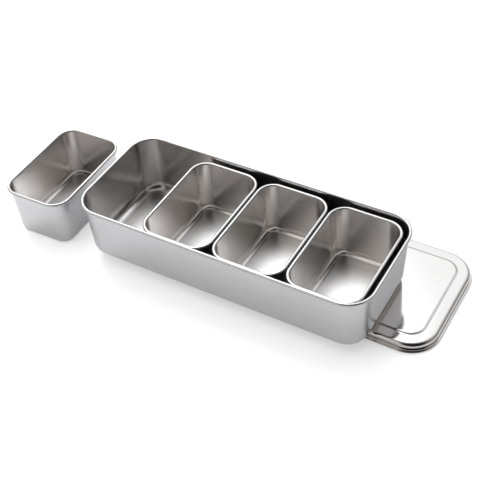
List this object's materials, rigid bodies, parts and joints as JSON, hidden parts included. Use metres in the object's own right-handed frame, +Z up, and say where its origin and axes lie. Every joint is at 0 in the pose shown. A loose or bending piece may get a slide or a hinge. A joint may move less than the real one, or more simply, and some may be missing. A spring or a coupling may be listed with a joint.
{
  "type": "condiment pan caddy",
  "caption": "Deep-drawn steel tray with a row of small lift-out condiment pans and a lift-off lid; one pan stands beside it and the tray stands on its lid.",
  "frame": {"origin": "middle of the whole set's footprint, on the surface that it stands on", "axes": "+X along the tray towards the end where the lid shows, +Y across the tray to its back, +Z up"},
  "size_m": [0.4182, 0.1556, 0.0676],
  "materials": {
    "tray_steel": "satin outside and inside, with a bright rolled rim",
    "lid_steel": "bright, nearly polished",
    "pan_steel": "satin, with a bright rolled rim"
  },
  "bodies": {
    "tray": {"tray": "tray_steel"},
    "lid": {"lid": "lid_steel"},
    "pan_1": {"pan_1": "pan_steel"},
    "pan_2": {"pan_2": "pan_steel"},
    "pan_3": {"pan_3": "pan_steel"},
    "pan_4": {"pan_4": "pan_steel"}
  },
  "joints": [
    {"name": "pan_1_lift", "type": "slide", "parent": "tray", "child": "pan_1", "axis": [0, 0, 1], "range_m": [0, 0.07]},
    {"name": "pan_2_lift", "type": "slide", "parent": "tray", "child": "pan_2", "axis": [0, 0, 1], "range_m": [0, 0.07]},
    {"name": "pan_3_lift", "type": "slide", "parent": "tray", "child": "pan_3", "axis": [0, 0, 1], "range_m": [0, 0.07]},
    {"name": "pan_4_lift", "type": "slide", "parent": "tray", "child": "pan_4", "axis": [0, 0, 1], "range_m": [0, 0.07]},
    {"name": "lid_draw", "type": "slide", "parent": "tray", "child": "lid", "axis": [1, 0, 0], "range_m": [-0.04, 0.255]}
  ]
}
